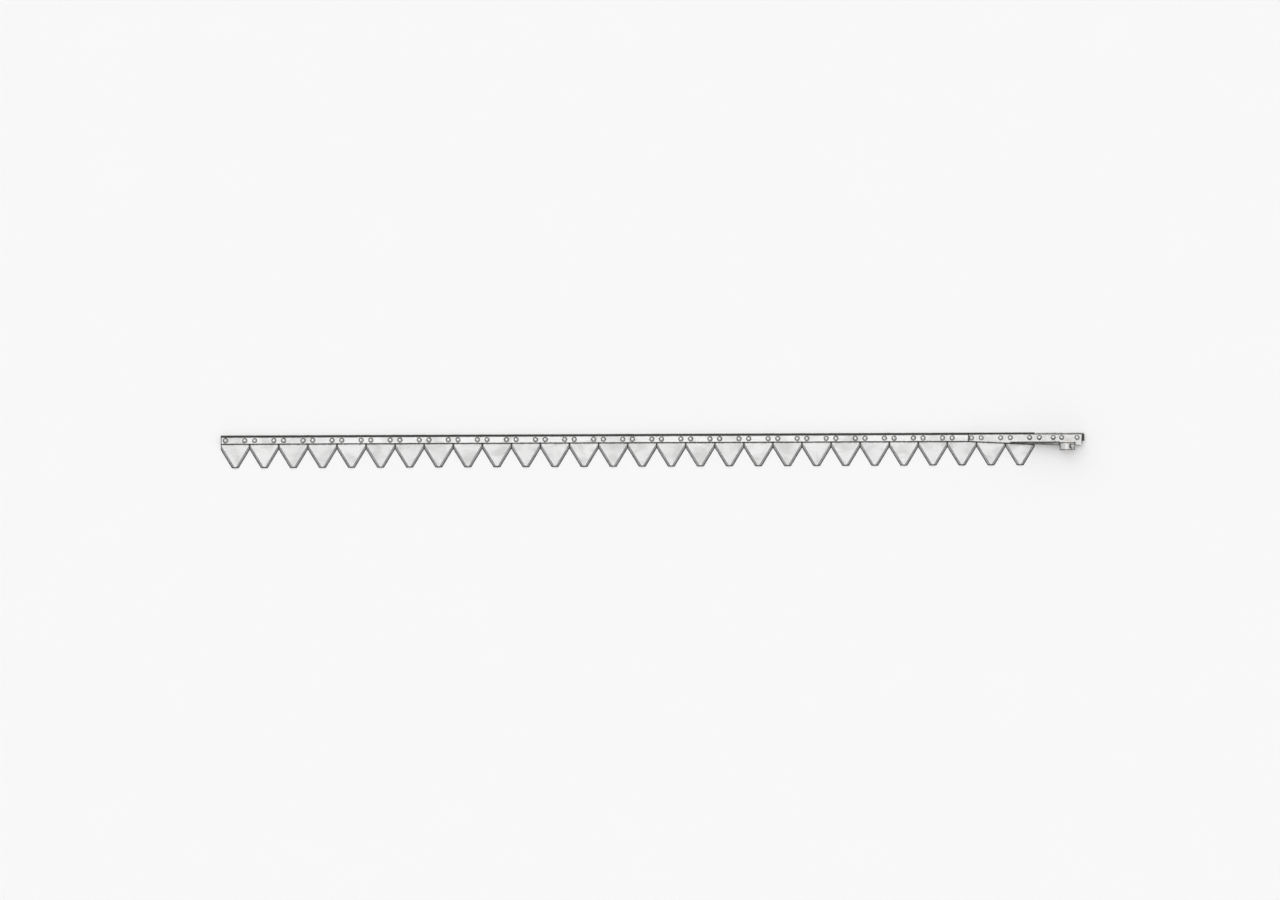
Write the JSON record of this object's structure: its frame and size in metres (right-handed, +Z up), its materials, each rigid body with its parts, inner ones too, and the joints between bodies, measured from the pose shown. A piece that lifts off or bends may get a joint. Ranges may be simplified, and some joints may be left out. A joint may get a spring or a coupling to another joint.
{
  "type": "sickle bar mower knife",
  "caption": "Long sickle bar mower knife: bevelled triangular sections riveted under a flat knife back, with a forged drive head at one end.",
  "frame": {"origin": "middle of the knife's length and depth, on the plane of the undersides of the sections", "axes": "+X along the knife towards the drive end, -Y towards the section tips, +Z up from the sections to the knife back"},
  "size_m": [2.2642, 0.086, 0.0589],
  "materials": {
    "blade_steel": "hardened steel, ground bevels",
    "bar_steel": "drawn flat bar, satin",
    "plate_steel": "hardened steel, satin",
    "forged_steel": "forged steel, shot blasted",
    "rivet_steel": "plain steel, headed cold",
    "bronze": "bearing bronze, machined",
    "zinc": "zinc plated steel"
  },
  "bodies": {
    "root": {"knife_back": "bar_steel", "wear_plate": "plate_steel", "knife_head": "forged_steel", "drive_bushing": "bronze", "grease_fitting": "zinc", "section_rivets": "rivet_steel", "head_rivets": "rivet_steel", "section_01": "blade_steel", "section_02": "blade_steel", "section_03": "blade_steel", "section_04": "blade_steel", "section_05": "blade_steel", "section_06": "blade_steel", "section_07": "blade_steel", "section_08": "blade_steel", "section_09": "blade_steel", "section_10": "blade_steel", "section_11": "blade_steel", "section_12": "blade_steel", "section_13": "blade_steel", "section_14": "blade_steel", "section_15": "blade_steel", "section_16": "blade_steel", "section_17": "blade_steel", "section_18": "blade_steel", "section_19": "blade_steel", "section_20": "blade_steel", "section_21": "blade_steel", "section_22": "blade_steel", "section_23": "blade_steel", "section_24": "blade_steel", "section_25": "blade_steel", "section_26": "blade_steel", "section_27": "blade_steel", "section_28": "blade_steel"}
  },
  "joints": []
}
